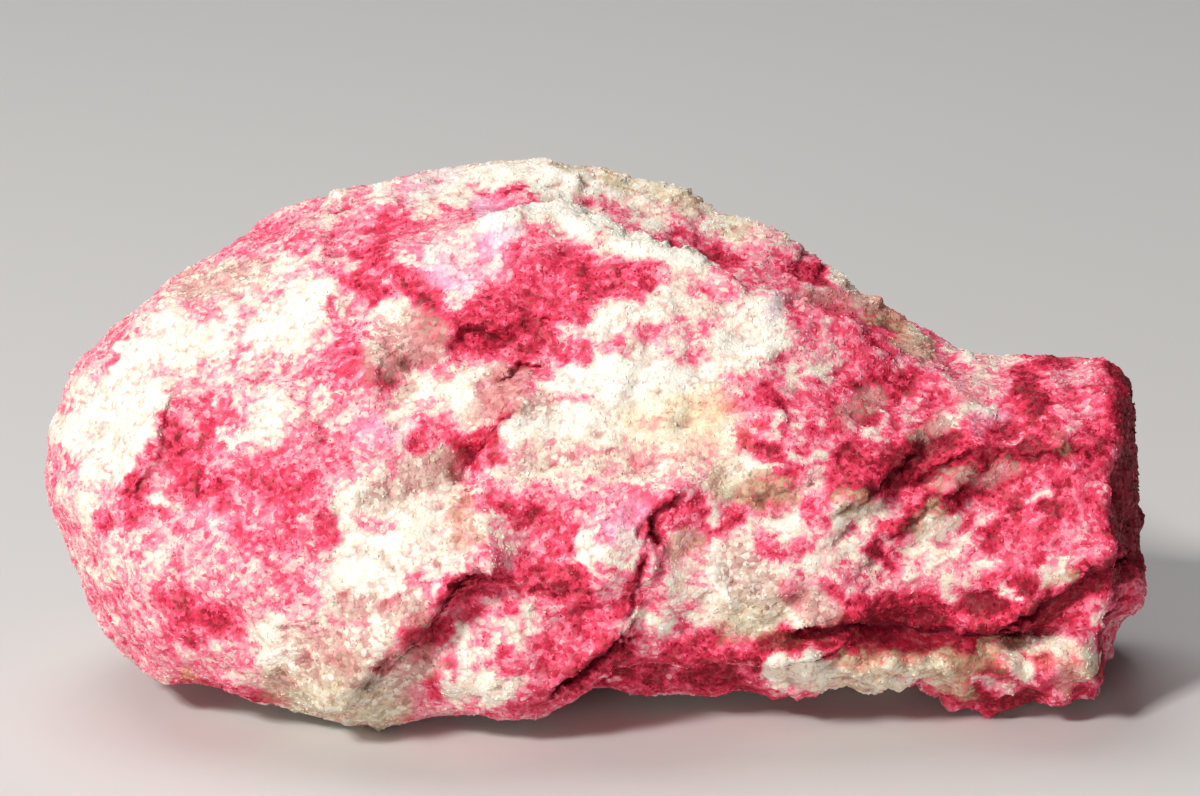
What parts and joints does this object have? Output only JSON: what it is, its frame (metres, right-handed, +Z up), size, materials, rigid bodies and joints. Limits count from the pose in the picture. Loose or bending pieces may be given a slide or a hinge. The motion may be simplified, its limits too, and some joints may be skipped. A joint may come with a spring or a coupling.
{
  "type": "thulite specimen",
  "caption": "Rough hand specimen of thulite: one broken stone of pink and crimson zoisite patched with cream albite, resting on its uneven underside.",
  "frame": {"origin": "on the surface that the stone rests on, under the middle of its box", "axes": "+X runs along the long side to the squared broken end, +Y to the back, +Z up"},
  "size_m": [0.06, 0.0286, 0.0277],
  "materials": {
    "thulite": "rough sugary break, matt with small glints"
  },
  "bodies": {
    "root": {"thulite_stone": "thulite"}
  },
  "joints": []
}
